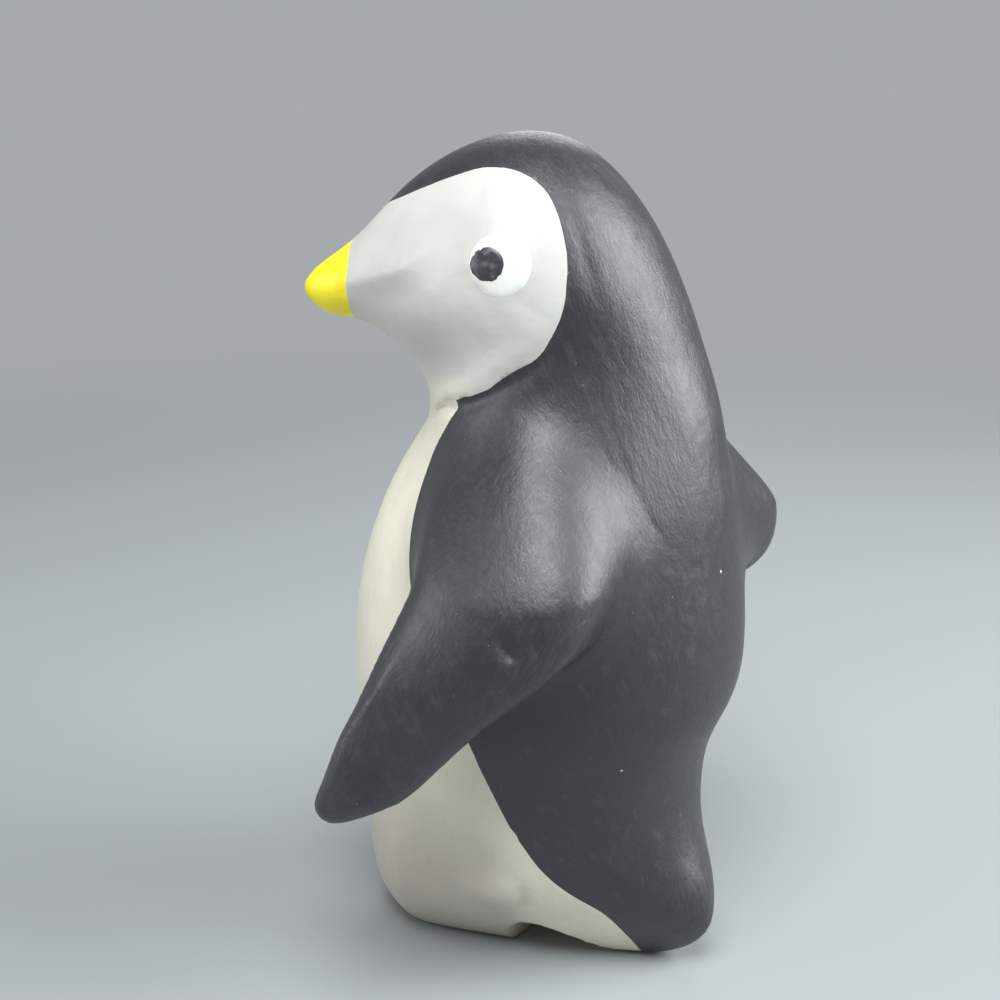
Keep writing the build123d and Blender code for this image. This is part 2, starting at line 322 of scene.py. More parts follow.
def specks(tree, where, spacing_mm, size_share, share_kept, seed=0):
    """Small round specks, one in some of the cells of a random net."""
    scale = [1 / (spacing_mm * MM)] * 3
    place = add_node(
        tree, "ShaderNodeMapping", {"Vector": where, "Scale": scale, "Location": [seed] * 3}
    )
    cells = add_node(tree, "ShaderNodeTexVoronoi", {"Vector": place.outputs[0], "Scale": 1.0})
    chosen = add_node(tree, "ShaderNodeSeparateColor", {0: cells.outputs["Color"]}).outputs[0]
    soft_edge = {"From Min": size_share * 0.6, "From Max": size_share, "To Min": 1.0, "To Max": 0.0}
    inside = add_node(
        tree, "ShaderNodeMapRange", {"Value": cells.outputs["Distance"], **soft_edge},
        interpolation_type="SMOOTHSTEP",
    ).outputs[0]
    kept = add_node(tree, "ShaderNodeMath", {0: chosen, 1: share_kept}, operation="LESS_THAN")
    spots = add_node(tree, "ShaderNodeMath", {0: inside, 1: kept.outputs[0]}, operation="MULTIPLY")
    return spots.outputs[0]


def laid_on(tree, base, most, colour, *patterns):
    """A colour laid on another, most of it where all patterns are high and none where one is low.
    A pattern is a socket, and the values where it counts as low and as high if it isn't 0 to 1."""
    share = most
    for pattern, *span in patterns:
        if span:
            pattern = add_node(
                tree, "ShaderNodeMapRange",
                {"Value": pattern, "From Min": span[0], "From Max": span[1]},
                interpolation_type="SMOOTHSTEP",
            ).outputs[0]
        share = add_node(
            tree, "ShaderNodeMath", {0: pattern, 1: share}, operation="MULTIPLY"
        ).outputs[0]
    return add_node(tree, "ShaderNodeMix", {0: share, 6: base, 7: colour}, data_type="RGBA").outputs[2]


def relief(tree, shader, *layers):
    """Bumps laid over each other: each layer is a height between 0 and 1 and its depth in mm."""
    normal = None
    for height, depth_mm in layers:
        links = {"Height": height, "Strength": 1.0, "Distance": depth_mm * MM}
        if normal is not None:
            links["Normal"] = normal
        normal = add_node(tree, "ShaderNodeBump", links).outputs[0]
    tree.links.new(normal, shader.inputs["Normal"])


def finish(tree, shader, colour, ior, roughness, bumps):
    """What every paint ends with: its colour, IOR, roughness and bumps. The roughness is summed
    from patterns, each with the values that it goes between and what it gives at each."""
    tree.links.new(colour, shader.inputs["Base Color"])
    shader.inputs["IOR"].default_value = ior
    total = None
    for pattern, low, high, at_low, at_high in roughness:
        part = add_node(
            tree, "ShaderNodeMapRange",
            {"Value": pattern, "From Min": low, "From Max": high, "To Min": at_low, "To Max": at_high},
            interpolation_type="SMOOTHSTEP",
        ).outputs[0]
        if total is not None:
            part = add_node(tree, "ShaderNodeMath", {0: total, 1: part}, operation="ADD").outputs[0]
        total = part
    tree.links.new(total, shader.inputs["Roughness"])
    relief(tree, shader, *bumps)


def background_rays(tree):
    """1 where the background is looked at, straight, in a gloss or through glass, and else 0."""
    rays = add_node(tree, "ShaderNodeLightPath").outputs
    seen = rays["Is Camera Ray"]
    for kind in ("Is Glossy Ray", "Is Transmission Ray"):
        seen = add_node(tree, "ShaderNodeMath", {0: seen, 1: rays[kind]}, operation="MAXIMUM").outputs[0]
    return seen


# The skin: one closed surface of points and triangles, in metres


def mesh_arrays(mesh):
    """A mesh's points and triangles."""
    mesh.calc_loop_triangles()
    points = np.empty(len(mesh.vertices) * 3)
    mesh.vertices.foreach_get("co", points)
    triangles = np.empty(len(mesh.loop_triangles) * 3, np.int32)
    mesh.loop_triangles.foreach_get("vertices", triangles)
    return points.reshape(-1, 3), triangles.reshape(-1, 3)


def node_arrays(names):
    """Points and triangles of CAD nodes, each node's loose corners joined."""
    points, triangles, start = [], [], 0
    for name in names:
        co, tri = mesh_arrays(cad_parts[name].data)
        unique, inverse = np.unique(np.round(co, 7), axis=0, return_inverse=True)
        tri = inverse.ravel()[tri]
        whole = (tri[:, 0] != tri[:, 1]) & (tri[:, 1] != tri[:, 2]) & (tri[:, 2] != tri[:, 0])
        points.append(unique)
        triangles.append(tri[whole] + start)
        start += len(unique)
    return np.concatenate(points), np.concatenate(triangles)


def new_object(name, points, faces, material=None):
    """A mesh object with these points and faces, shaded smooth."""
    mesh = bpy.data.meshes.new(name)
    mesh.from_pydata(points.tolist(), [], faces if isinstance(faces, list) else faces.tolist())
    mesh.shade_smooth()
    piece = bpy.data.objects.new(name, mesh)
    bpy.context.scene.collection.objects.link(piece)
    if material:
        mesh.materials.append(material)
    return piece


def point_normals(points, triangles):
    """A normal for each point, from the triangles around it, larger ones counting more."""
    a, b, c = (points[triangles[:, i]] for i in range(3))
    flat = np.cross(b - a, c - a)
    total = np.zeros_like(points)
    for i in range(3):
        for axis in range(3):
            total[:, axis] += np.bincount(triangles[:, i], flat[:, axis], len(points))
    return total / np.maximum(np.linalg.norm(total, axis=1, keepdims=True), 1e-20)


def directed_edges(triangles):
    """The edges of every triangle, as two point numbers in the triangle's own order."""
    return np.concatenate([triangles[:, [0, 1]], triangles[:, [1, 2]], triangles[:, [2, 0]]])


def edge_pairs(triangles):
    """Each edge of the triangles once, as two point numbers."""
    return np.unique(np.sort(directed_edges(triangles), axis=1), axis=0)


def neighbour_sums(values, pairs):
    """For each point the sum of its neighbours' values."""
    total = np.empty_like(values)
    for axis in range(values.shape[1]):
        total[:, axis] = np.bincount(pairs[:, 0], values[pairs[:, 1], axis], len(values))
        total[:, axis] += np.bincount(pairs[:, 1], values[pairs[:, 0], axis], len(values))
    return total


def relaxed(values, pairs, share, rounds):
    """Values drawn towards the mean of their neighbours by a share, many times over."""
    values = values.copy()
    share = np.where(np.abs(share) > LEAST_SHARE, share, 0) * np.ones(len(values))
    pairs = pairs[(share != 0)[pairs].any(axis=1)]
    count = np.maximum(np.bincount(pairs.ravel(), minlength=len(values)), 1)
    for _ in range(rounds):
        mean = neighbour_sums(values, pairs) / count[:, None]
        values += share[:, None] * (mean - values)
    return values


def filled(points, triangles, pairs, share, rounds):
    """Hollows filled out smoothly where share is above 0, and ridges worn down by less."""
    moving = share > LEAST_SHARE
    pairs = pairs[moving[pairs].any(axis=1)]
    used, local = np.unique(pairs, return_inverse=True)
    pairs = local.reshape(-1, 2)
    number = np.full(len(points), -1)
    number[used] = np.arange(len(used))
    triangles = number[triangles]
    triangles = triangles[(triangles >= 0).all(axis=1)]
    patch = points[used]
    count = np.bincount(pairs.ravel(), minlength=len(used)).astype(float)[:, None]
    share = np.where(moving, share, 0)[used][:, None]
    for step in range(rounds):
        if step % NORMALS_KEPT == 0:
            normals = point_normals(patch, triangles)
        move = neighbour_sums(patch, pairs) / count - patch
        inward = np.minimum(np.sum(move * normals, axis=1, keepdims=True), 0)
        patch += share * (move - normals * inward * (1 - RIDGE_WORN))
    result = points.copy()
    result[used] = patch
    return result


def largest_part(points, triangles):
    """The biggest connected part of a surface."""
    pairs = edge_pairs(triangles)
    label = np.arange(len(points))
    while True:
        before = label.copy()
        np.minimum.at(label, pairs[:, 0], label[pairs[:, 1]])
        np.minimum.at(label, pairs[:, 1], label[pairs[:, 0]])
        label = label[label]
        if np.array_equal(before, label):
            break
    biggest = np.bincount(label).argmax()
    return compact(points, triangles[label[triangles[:, 0]] == biggest], {})[:2]


def compact(points, triangles, fields):
    """The points that the triangles use, and their fields, numbered anew."""
    used, inverse = np.unique(triangles, return_inverse=True)
    return points[used], inverse.reshape(-1, 3), {k: v[used] for k, v in fields.items()}


def smooth_step(value, low, high):
    """0 below low, 1 above high, and smooth between."""
    t = np.clip((value - low) / (high - low), 0, 1)
    return t * t * (3 - 2 * t)


def search_tree(points, triangles):
    """A tree of the triangles, to find the nearest one or the one that a ray hits."""
    return BVHTree.FromPolygons(points.tolist(), triangles.tolist())


def distances(points, names):
    """How far each point is from the nearest surface of these CAD nodes."""
    tree = search_tree(*node_arrays(names))
    return np.array([tree.find_nearest(p)[3] for p in points.tolist()])


def apart(first, second):
    """Signed distance to the line where two coats meet, below 0 on the first coat."""
    gap = first**2 - second**2
    return np.sign(gap) * np.sqrt(np.abs(gap))


def line_distance(points, line):
    """How far points are from a line of points, and how far along it, from 0 to 1."""
    best = np.full(len(points), np.inf)
    along = np.zeros(len(points))
    for i, (start, end) in enumerate(zip(line[:-1], line[1:])):
        run = end - start
        t = np.clip((points - start) @ run / max(run @ run, 1e-18), 0, 1)
        gap = np.linalg.norm(points - start - t[:, None] * run, axis=1)
        nearer = gap < best
        best = np.where(nearer, gap, best)
        along = np.where(nearer, (i + t) / (len(line) - 1), along)
    return best, along


def waves(points, size, seed):
    """Smooth random waves of about -1 to 1 over the points."""
    shift = Vector((seed, seed * 2, seed * 3))
    return np.array([noise.noise(Vector(p) / size + shift) for p in points.tolist()]) * 1.6


def camera_frame(stage):
    """The camera's place and its right, up and forward directions."""
    out = Vector((math.cos(stage.bearing), math.sin(stage.bearing), 0))
    across = Vector((-out.y, out.x, 0))
    place = out * stage.distance + Vector((0, 0, stage.height))
    sway = (stage.axis_column - PICTURE / 2) / stage.focal * math.cos(stage.pitch)
    level = (-out - across * sway).normalized()
    right = Vector((-level.y, level.x, 0)) * -1
    forward = level * math.cos(stage.pitch) - Vector((0, 0, math.sin(stage.pitch)))
    return place, right, right.cross(forward), forward


class Skin:
    """The carved surface, the distance of each point to every coat, and its carving."""

    def __init__(self, shape, stage):
        self.shape = shape
        self.stage = stage
        points, triangles = node_arrays(sorted(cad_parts))
        rough = new_object("rough_skin", points, triangles)
        remesh = rough.modifiers.new("grid", "REMESH")
        remesh.mode = "VOXEL"
        remesh.voxel_size = shape.grid
        graph = bpy.context.evaluated_depsgraph_get()
        mesh = bpy.data.meshes.new_from_object(rough.evaluated_get(graph))
        points, self.triangles = largest_part(*mesh_arrays(mesh))
        bpy.data.objects.remove(rough)
        bpy.data.meshes.remove(mesh)
        self.pairs = edge_pairs(self.triangles)
        for _ in range(GRID_ROUNDS):
            for share in GRID_SHARES:
                points = relaxed(points, self.pairs, share, 1)
        self.measure(points)
        self.uncarved = points
        self.points = self.carve(self.plane(self.blend_shoulders(points)))
        self.points = np.clip(self.points, np.array(cad_low), np.array(cad_high))
        self.normals = point_normals(self.points, self.triangles)
        straight = point_normals(points, self.triangles)
        depth = np.minimum(np.sum((self.points - points) * straight, axis=1, keepdims=True), 0)
        self.fields = {
            "wear": self.edges_of_form(),
            "under": points + straight * depth - straight * shape.coat,
            "flow": smooth_step(self.to["back"] - self.to["flippers"], -FLOW_REACH, FLOW_REACH),
            "throat": np.clip(apart(self.to["face"], self.to["belly"]) / MM, -20, 20),
            **self.paint_edges(),
        }

    def measure(self, points):
        """Distances to each coat, taken before any carving moves the points."""
        groups = {"charcoal": CHARCOAL_NODES, "flippers": CHARCOAL_NODES[1:], "wood": WOOD_NODES[:1]}
        for coat in ("back", "face", "belly", "beak"):
            groups[coat] = [coat + "_coat"]
        self.to = {name: distances(points, nodes) for name, nodes in groups.items()}

    def blend_shoulders(self, points):
        """The line where each flipper meets the back, melted away but for its lower end."""
        reach = self.shape.blend_reach
        low = self.shape.blend_low
        both = np.maximum(self.to["flippers"], self.to["back"])
        high = smooth_step(points[:, 2], low, low + BLEND_RISE)
        near = 1 - smooth_step(both, FADE_SHARE * reach, reach)
        share = FULL_SHARE * near * high
        points = filled(points, self.triangles, self.pairs, share, FILL_ROUNDS)
        near = 1 - smooth_step(both, FADE_SHARE * reach, EVEN_SHARE * reach)
        return relaxed(points, self.pairs, SOFT_SHARE * near * high, EVEN_ROUNDS)

    def mirrored(self, line, by):
        """A line of points on the other side of the turned head or of the body."""
        if by == "head":
            across = np.array((math.cos(self.shape.head_turn), math.sin(self.shape.head_turn), 0))
            middle = np.array((0, NECK_SETBACK, 0))
        else:
            across = np.array((1.0, 0, 0))
            middle = np.zeros(3)
        return line - 2 * ((line - middle) @ across)[:, None] * across

    def tracks(self, tree, name, pixels, by):
        """Where a mark lies: the points that the camera sees at its picture columns and rows, and
        their mirror images if it has a twin on the far side."""
        place, right, up, forward = camera_frame(self.stage)
        hits = []
        for column, row in pixels:
            aside, below = column - PICTURE / 2, row - PICTURE / 2
            hit = tree.ray_cast(place, forward * self.stage.focal + right * aside - up * below)[0]
            if hit is None:
                raise RuntimeError(f"{name} misses the figure at {column}, {row}")
            hits.append(hit)
        line = np.array(hits)
        return [line, self.mirrored(line, by)] if by else [line]

    def plane(self, points):
        """The flat places, drawn even by their own number of rounds, less and less outwards."""
        tree = search_tree(points, self.triangles)
        for name, (pixel, reach, rounds, mirror) in PLANED.items():
            for track in self.tracks(tree, name, [pixel], mirror):
                gap = np.linalg.norm(points - track[0], axis=1) / (reach * MM)
                share = FULL_SHARE * (1 - smooth_step(gap, *PLANE_ENDS))
                points = relaxed(points, self.pairs, share, rounds)
        return points

    def carve(self, points):
        """The knife's marks and the overhang of the cheek, cut into the surface or left proud."""
        normals = point_normals(points, self.triangles)
        tree = search_tree(points, self.triangles)
        height = np.zeros(len(points))
        for name, (pixels, width, rise, crisp, mirror) in KNIFE_MARKS.items():
            for track in self.tracks(tree, name, pixels, mirror):
                gap, along = line_distance(points, track)
                fade = smooth_step(along, *MARK_ENDS) * smooth_step(1 - along, *MARK_ENDS)
                fade = END_SHARE + (1 - END_SHARE) * fade if len(track) > 2 else 1.0
                gap = gap / (width * MM)
                height += rise * MM * fade * np.exp(-gap if crisp else -(gap**2))
        edge = apart(self.to["face"], self.to["charcoal"]) / MM
        starts, full, last, ends = (h * MM for h in CHEEK_HEIGHTS)
        cheek = smooth_step(points[:, 2], starts, full) * (1 - smooth_step(points[:, 2], last, ends))
        for rise, place, spread in CHEEK_BANDS:
            height += rise * MM * cheek * np.exp(-((edge - place) ** 2) / spread)
        return points + normals * height[:, None]

    def edges_of_form(self):
        """How far each point stands out of the form around it: above 0 on ridges."""
        share, rounds, ridge = 0.7, 40, 0.25 * MM
        around = relaxed(self.points, self.pairs, share, rounds)
        return np.sum((self.points - around) * self.normals, axis=1) / ridge

    def paint_edges(self):
        """Signed distances to the edges between the paints, with the brush's wobble."""
        to = self.to
        stray = waves(self.uncarved, WOBBLE_SIZE, seed=3.7) * self.shape.wobble
        shifts = {"beak": stray, "face": stray.copy(), "charcoal": stray.copy()}
        tree = search_tree(self.points, self.triangles)
        for name, (edge, pixel, reach, shift, mirror) in BRUSH_SHIFTS.items():
            for track in self.tracks(tree, name, [pixel], mirror):
                gap = np.linalg.norm(self.points - track[0], axis=1) / (reach * MM)
                shifts[edge] = shifts[edge] + shift * MM * np.exp(-(gap**2))
        beyond_face = np.minimum(to["charcoal"], to["belly"])
        beyond_beak = np.minimum(to["face"], beyond_face)
        coats = np.minimum(to["beak"], beyond_beak)
        off_floor = smooth_step(self.uncarved[:, 2], 0.3 * MM, 1.2 * MM)
        return {
            "bare": apart(coats, to["wood"]) - ARCH_PAINT * off_floor,
            "beak": apart(to["beak"], beyond_beak) + shifts["beak"],
            "face": apart(to["face"], beyond_face) + shifts["face"],
            "charcoal": apart(to["charcoal"], to["belly"]) + shifts["charcoal"],
        }

    def part(self, *edges):
        """Points, triangles and fields of the skin where each named field times its sign is
        below zero."""
        points, triangles = self.points, self.triangles
        fields = dict(self.fields, normal=self.normals)
        for name, sign in edges:
            points, triangles, fields = cut(points, triangles, fields, sign * fields[name])
        return points, triangles, fields


def cut(points, triangles, fields, value):
    """What lies below zero of a value, with the triangles that cross zero cut through.

    A point that is all but on the line counts as below it, so that no sliver is cut off."""
    value = np.where(np.abs(value) < ON_LINE, -1e-9, value)
    below = value < 0
    count = below[triangles].sum(axis=1)
    whole = triangles[count == 3]
    mixed = triangles[(count == 1) | (count == 2)]
    single = below[mixed] if len(mixed) else np.zeros((0, 3), bool)
    odd = np.where((single.sum(axis=1) == 1)[:, None], single, ~single).argmax(axis=1)
    rows = np.arange(len(mixed))
    a, b, c = (mixed[rows, (odd + i) % 3] for i in range(3))
    ends = np.concatenate([np.stack([a, b], 1), np.stack([a, c], 1)])
    keys, inverse = np.unique(np.sort(ends, axis=1), axis=0, return_inverse=True)
    share = (value[keys[:, 0]] / (value[keys[:, 0]] - value[keys[:, 1]]))[:, None]
    new_points = points[keys[:, 0]] * (1 - share) + points[keys[:, 1]] * share
    new_fields = {}
    for name, field in fields.items():
        s = share if field.ndim == 2 else share[:, 0]
        between = field[keys[:, 0]] * (1 - s) + field[keys[:, 1]] * s
        new_fields[name] = np.concatenate([field, between])
    inverse = inverse.ravel() + len(points)
    ab, ac = inverse[: len(mixed)], inverse[len(mixed) :]
    tip = below[a]
    tips = np.stack([a, ab, ac], 1)[tip]
    base_one = np.stack([ab, b, c], 1)[~tip]
    base_two = np.stack([ab, c, ac], 1)[~tip]
    result = np.concatenate([whole, tips, base_one, base_two])
    return compact(np.concatenate([points, new_points]), result, new_fields)


def coat_piece(name, part, material, lift=None):
    """A closed layer of paint: the skin's part, its inner face and the wall along its border.

    Without a lift the inner face is the wood's; with one the layer lies on another coat."""
    points, triangles, fields = part
    count = len(points)
    outer, inner = points, fields["under"]
    if lift is not None:
        normals = fields["normal"] / np.linalg.norm(fields["normal"], axis=1, keepdims=True)
        outer = points + normals * lift[:, None]
        inner = points - normals * LAYER_SUNK
    directed = directed_edges(triangles)
    first, times = np.unique(
        np.sort(directed, axis=1), axis=0, return_index=True, return_counts=True
    )[1:]
    border = directed[first[times == 1]]
    walls = np.stack([border[:, 1], border[:, 0], border[:, 0] + count, border[:, 1] + count], 1)
    faces = triangles.tolist() + (triangles[:, ::-1] + count).tolist() + walls.tolist()
    piece = new_object(name, np.concatenate([outer, inner]), faces, material)
    piece.data.set_sharp_from_angle(angle=math.radians(50))
    for field in ("wear", "flow", "throat"):
        attribute = piece.data.attributes.new(field, "FLOAT", "POINT")
        attribute.data.foreach_set("value", np.tile(fields[field], 2).astype(np.float32))
    return piece


_made = {}


def skin(context):
    """The carved surface, made once."""
    if "skin" not in _made:
        _made["skin"] = Skin(context.scene.penguin_shape, context.scene.penguin_stage)
    return _made["skin"]


def dress(piece, slot, *nodes):
    """Fastens a finished piece to the figure in place of its solids."""
    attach(piece, "root")
    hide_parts(*nodes)
    print(piece.name, len(piece.data.polygons), "faces")


# Materials


def charcoal_paint(paint):
    """Satin acrylic over primed carved wood, brushed along the form: dark with a grey haze.

    Bristle lines of 0.1 mm, down the back and aslant on the flippers, and the stipple between them
    are too fine to show, so they are drawn at 0.45 and 0.36 mm."""
    material, tree, shader, where = new_material("charcoal_acrylic_brushed_on_wood")
    base = paint.charcoal
    clouds = grain(tree, where, 13, detail=4)
    bristles = {"detail": 4, "rough": 0.65}
    down = grain(tree, where, 0.45, stretch=(1, 1, 6), turn=(0.22, 0.08, 0), **bristles)
    axes = add_node(tree, "ShaderNodeSeparateXYZ", {0: where}).outputs
    aside = add_node(tree, "ShaderNodeMath", {0: axes[0]}, operation="ABSOLUTE").outputs[0]
    both_sides = add_node(tree, "ShaderNodeCombineXYZ", {0: aside, 1: axes[1], 2: axes[2]}).outputs[0]
    slant = grain(tree, both_sides, 0.45, stretch=(1, 1, 5), turn=(-0.40, -0.33, 0), **bristles)
    flow, wear = (
        add_node(tree, "ShaderNodeAttribute", attribute_name=name).outputs["Fac"]
        for name in ("flow", "wear")
    )
    strokes = add_node(tree, "ShaderNodeMix", {0: flow, 2: down, 3: slant}).outputs[0]
    stipple = grain(tree, where, 0.36, detail=2, rough=0.5)
    scuffs = grain(tree, where, 1.9, stretch=(1, 1, 2.5), turn=(0.5, 0.1, 0), detail=6, rough=0.75)
    chips = specks(tree, where, 7.5, 0.036, 0.30)
    dust = specks(tree, where, 2.2, 0.06, 0.22, seed=4)
    colour = laid_on(tree, shade(base, 0.85), 1.0, shade(base, 1.12), (clouds, 0.35, 0.65))
    colour = laid_on(tree, colour, 0.6, shade(base, 2.0), (strokes, 0.50, 0.74))
    colour = laid_on(tree, colour, 0.7, shade(base, 3.0), (scuffs, 0.52, 0.70))
    colour = laid_on(tree, colour, 0.5, shade(base, 0.5), (stipple, 0.58, 0.72))
    colour = laid_on(tree, colour, 0.5, shade(base, 2.6), (wear, 0.6, 2.0), (strokes, 0.4, 0.6))
    colour = laid_on(tree, colour, 0.30, linear("#A9ABAE"), (dust,))
    colour = laid_on(tree, colour, 0.85, linear("#D6D6D2"), (chips,))
    uneven = grain(tree, where, 5, detail=2)
    roughness = [(strokes, 0.3, 0.7, 0.36, 0.43), (scuffs, 0.4, 0.6, 0.0, 0.06)]
    bumps = [(uneven, 0.14), (scuffs, 0.12), (strokes, 0.04), (stipple, 0.02), (chips, 0.06)]
    finish(tree, shader, colour, 1.52, roughness, bumps)
    shader.inputs["Specular IOR Level"].default_value = 0.75
    return material


def face_paint(paint):
    """Thick smooth acrylic in pale grey, half glossy, with faint brush marks and fine grit. It
    fades into the bib's cream. Bristle lines are drawn at 0.9 mm, since 0.1 mm would not show."""
    material, tree, shader, where = new_material("pale_grey_acrylic_smooth")
    base = paint.face_grey
    clouds = grain(tree, where, 12, detail=3)
    strokes = grain(tree, where, 0.9, stretch=(4, 4, 1), detail=3)
    throat = add_node(tree, "ShaderNodeAttribute", attribute_name="throat").outputs["Fac"]
    grit = specks(tree, where, 1.5, 0.05, 0.20)
    colour = laid_on(tree, shade(base, 0.95), 1.0, shade(base, 1.04), (clouds, 0.35, 0.65))
    colour = laid_on(tree, colour, 0.25, linear("#CFCCBC"), (strokes, 0.55, 0.8))
    colour = laid_on(tree, colour, 0.9, linear(paint.cream), (throat, -8.0, -0.5))
    colour = laid_on(tree, colour, 0.30, linear("#8D8A80"), (grit,))
    bumps = [(grain(tree, where, 4, detail=2), 0.14), (strokes, 0.03)]
    finish(tree, shader, colour, 1.49, [(clouds, 0.3, 0.7, 0.32, 0.42)], bumps)
    return material


def bib_paint(paint):
    """Satin acrylic in warm cream, brushed downwards, with painted shade: greyer low on the front of the
    legs.
    Bristle lines are drawn at 0.8 mm, since 0.1 mm would not show."""
    material, tree, shader, where = new_material("cream_acrylic_brushed")
    base = paint.cream
    clouds = grain(tree, where, 11, detail=4)
    strokes = grain(tree, where, 0.8, stretch=(1, 1, 8), detail=4)
    axes = add_node(tree, "ShaderNodeSeparateXYZ", {0: where}).outputs
    # Where the painted shade lies: low on the body, towards its front
    low = (axes[2], 42 * MM, 12 * MM)
    shade_in_front = (axes[1], 10 * MM, 2 * MM)
    grit = specks(tree, where, 3.4, 0.06, 0.3)
    colour = laid_on(tree, shade(base, 0.94), 1.0, shade(base, 1.03), (clouds, 0.35, 0.65))
    colour = laid_on(tree, colour, 0.35, linear("#D2CCBA"), (strokes, 0.52, 0.8))
    # Painted shade: the cream greyed low on the front of the legs
    colour = laid_on(tree, colour, 0.75, linear(paint.legs_painted_shade), low, shade_in_front)
    colour = laid_on(tree, colour, 0.35, linear("#8A857A"), (grit,))
    bumps = [(grain(tree, where, 5, detail=2), 0.14), (strokes, 0.05)]
    finish(tree, shader, colour, 1.49, [(strokes, 0.3, 0.7, 0.36, 0.50)], bumps)
    return material


def beak_paint(paint):
    """Satin acrylic in clear yellow, laid on with a small brush: deeper where it pooled.
    Bristle lines are drawn at 0.6 mm, since 0.1 mm would not show."""
    material, tree, shader, where = new_material("yellow_acrylic_brushed")
    clouds = grain(tree, where, 4.5, detail=2)
    strokes = grain(tree, where, 0.6, stretch=(3, 3, 1), detail=3)
    colour = laid_on(tree, linear(paint.yellow), 0.6, linear("#F3DC12"), (clouds, 0.4, 0.7))
    colour = laid_on(tree, colour, 0.4, linear("#E2C610"), (strokes, 0.58, 0.8))
    bumps = [(clouds, 0.10), (strokes, 0.04)]
    finish(tree, shader, colour, 1.49, [(strokes, 0.3, 0.7, 0.34, 0.46)], bumps)
    return material


def eye_paint(name, code, other, cell_mm):
    """A drop of acrylic that dried smooth, a little uneven in colour."""
    material, tree, shader, where = new_material(name)
    clouds = grain(tree, where, cell_mm, detail=3)
    colour = laid_on(tree, linear(code), 1.0, linear(other), (clouds, 0.45, 0.68))
    finish(tree, shader, colour, 1.49, [(clouds, 0.3, 0.7, 0.24, 0.4)], [(clouds, 0.05)])
    return material


def carved_wood(paint):
    """Bare pale hardwood, sawn flat and sanded: end grain in rings under the figure. Its pores
    are drawn at 0.35 mm, since 0.1 mm would not show."""
    material, tree, shader, where = new_material("bare_carved_hardwood")
    base = paint.wood
    centred = add_node(tree, "ShaderNodeMapping", {"Vector": where, "Location": (0.03, 0.02, 0)})
    # A wave of this scale has its rings 3.5 mm apart
    rings = add_node(
        tree, "ShaderNodeTexWave",
        {"Vector": centred.outputs[0], "Scale": 90.0, "Distortion": 3.0, "Detail": 2.0},
        wave_type="RINGS", rings_direction="Z",
    ).outputs["Fac"]
    pores = grain(tree, where, 0.35, stretch=(1, 1, 12), detail=3)
    colour = laid_on(tree, shade(base, 1.1), 1.0, shade(base, 0.72), (rings, 0.2, 0.9))
    colour = laid_on(tree, colour, 0.6, shade(base, 0.5), (pores, 0.55, 0.75))
    tree.links.new(colour, shader.inputs["Base Color"])
    shader.inputs["Roughness"].default_value = 0.72
    shader.inputs["IOR"].default_value = 1.5
    relief(tree, shader, (rings, 0.04), (pores, 0.05))
    return material


# One operator for each piece or group of like pieces


def lay_coat(context, name, make_material, slot, *nodes):
    """One coat of paint on the part of the skin inside its edges, in place of its solids."""
    part = skin(context).part(*COAT_EDGES[name])
    piece = coat_piece(name, part, make_material(context.scene.penguin_paint))
    dress(piece, slot, *nodes)
    return {"FINISHED"}


class PENGUIN_OT_wood(bpy.types.Operator):
    """Carve the wooden body and flippers, and finish the dowels"""

    bl_idname = "penguin.wood"
    bl_label = "Carved wood"

    def execute(self, context):
        surface = skin(context)
        material = carved_wood(context.scene.penguin_paint)
        tree = search_tree(surface.points, surface.triangles)
        bare = surface.fields["bare"][surface.triangles].min(axis=1) > 0
        for node in WOOD_NODES:
            points, triangles = node_arrays([node])
            for i, point in enumerate(points):
                spot, normal, triangle, gap = tree.find_nearest(Vector(point))
                wanted = WOOD_BARE_DEPTH if bare[triangle] else WOOD_DEPTH
                if gap < WOOD_REACH and (Vector(point) - spot).dot(normal) > -wanted:
                    points[i] = spot - normal * wanted
            points[:, 2] = np.where(points[:, 2] < ON_FLOOR, 0.0, points[:, 2])
            piece = new_object("carved_" + node, points, triangles, material)
            piece.data.set_sharp_from_angle(angle=math.radians(40))
            dress(piece, "bare_wood", node)
        for node in DOWEL_NODES:
            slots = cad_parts[node].data.materials
            slots.clear()
            slots.append(material)
        return {"FINISHED"}


class PENGUIN_OT_charcoal(bpy.types.Operator):
    """Paint the back, the hood and both flippers in one charcoal coat"""

    bl_idname = "penguin.charcoal"
    bl_label = "Charcoal coat"

    def execute(self, context):
        return lay_coat(context, "charcoal_coat", charcoal_paint, "charcoal_paint", *CHARCOAL_NODES)


class PENGUIN_OT_belly(bpy.types.Operator):
    """Paint the bib and the belly in cream"""

    bl_idname = "penguin.belly"
    bl_label = "Belly coat"

    def execute(self, context):
        return lay_coat(context, "cream_coat", bib_paint, "cream_paint", "belly_coat")


class PENGUIN_OT_face(bpy.types.Operator):
    """Paint the face in pale grey"""

    bl_idname = "penguin.face"
    bl_label = "Face coat"

    def execute(self, context):
        return lay_coat(context, "grey_coat", face_paint, "grey_paint", "face_coat")


class PENGUIN_OT_beak(bpy.types.Operator):
    """Paint the beak yellow"""

    bl_idname = "penguin.beak"
    bl_label = "Beak coat"

    def execute(self, context):
        return lay_coat(context, "yellow_coat", beak_paint, "yellow_paint", "beak_coat")


